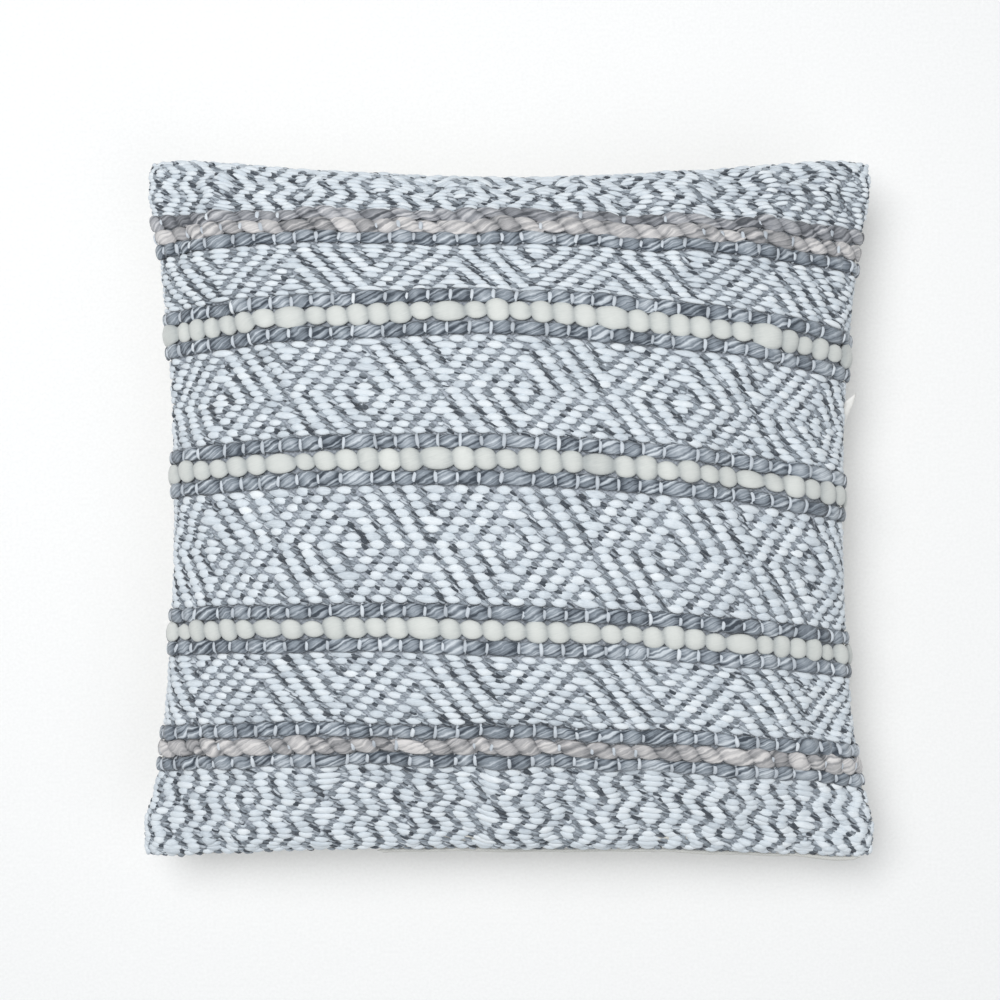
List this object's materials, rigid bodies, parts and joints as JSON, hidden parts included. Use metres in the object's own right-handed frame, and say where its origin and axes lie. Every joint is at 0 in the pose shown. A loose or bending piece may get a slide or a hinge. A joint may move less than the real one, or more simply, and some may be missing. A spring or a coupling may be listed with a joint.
{
  "type": "throw pillow",
  "caption": "Square throw pillow: a handwoven striped cover with a working zip in its bottom seam, over a soft filled insert.",
  "frame": {"origin": "on the surface it lies on, under the middle of the cushion, which rests on its back", "axes": "+X towards the cushion's right side seen from the front, +Y towards its top edge, away from the zip, +Z out of its woven face"},
  "size_m": [0.4388, 0.4283, 0.1366],
  "materials": {
    "handwoven_face": "thick handwoven wool and cotton twill, white and mid grey wefts over a pale warp",
    "roving_grey": "fluffy grey marl roving, loosely twisted",
    "roving_ivory": "thick off-white roving",
    "roving_taupe": "thick grey-beige roving",
    "cotton_back": "plain off-white cotton canvas",
    "label_satin": "blank woven satin label",
    "sewing_thread": "matte polyester sewing thread",
    "zip_tape": "woven zip tape",
    "zip_coil": "satin nylon coil",
    "zip_metal": "plain nickel-plated zinc",
    "insert_cotton": "fine white down-proof cotton",
    "fill_fibre": "soft white hollow fibre"
  },
  "bodies": {
    "cushion": {"front_panel": "handwoven_face", "back_panel": "cotton_back", "stripe_1_roving_upper": "roving_grey", "stripe_1_roving_middle": "roving_taupe", "stripe_1_roving_lower": "roving_grey", "stripe_2_roving_upper": "roving_grey", "stripe_2_roving_middle": "roving_ivory", "stripe_2_roving_lower": "roving_grey", "stripe_3_roving_upper": "roving_grey", "stripe_3_roving_middle": "roving_ivory", "stripe_3_roving_lower": "roving_grey", "stripe_4_roving_upper": "roving_grey", "stripe_4_roving_middle": "roving_ivory", "stripe_4_roving_lower": "roving_grey", "stripe_5_roving_upper": "roving_grey", "stripe_5_roving_middle": "roving_taupe", "stripe_5_roving_lower": "roving_grey", "care_label": "label_satin", "cover_seam_thread": "sewing_thread", "zip_tape_front": "zip_tape", "zip_coil_front": "zip_coil", "zip_top_stop_front": "zip_metal", "zip_tape_back": "zip_tape", "zip_coil_back": "zip_coil", "zip_top_stop_back": "zip_metal", "zip_bottom_stop": "zip_metal", "insert_shell_front": "insert_cotton", "insert_shell_back": "insert_cotton", "insert_seam_thread": "sewing_thread", "insert_fill": "fill_fibre"},
    "slider": {"zip_slider": "zip_metal"},
    "puller": {"zip_puller": "zip_metal"}
  },
  "joints": [
    {"name": "zip_slide", "type": "slide", "parent": "cushion", "child": "slider", "axis": [1, 0, 0], "range_m": [-0.264, 0]},
    {"name": "puller_flip", "type": "hinge", "parent": "slider", "child": "puller", "pos_m": [0.1333, -0.208, 0.06215], "axis": [0, 0, 1], "range_deg": [0, 150]}
  ]
}
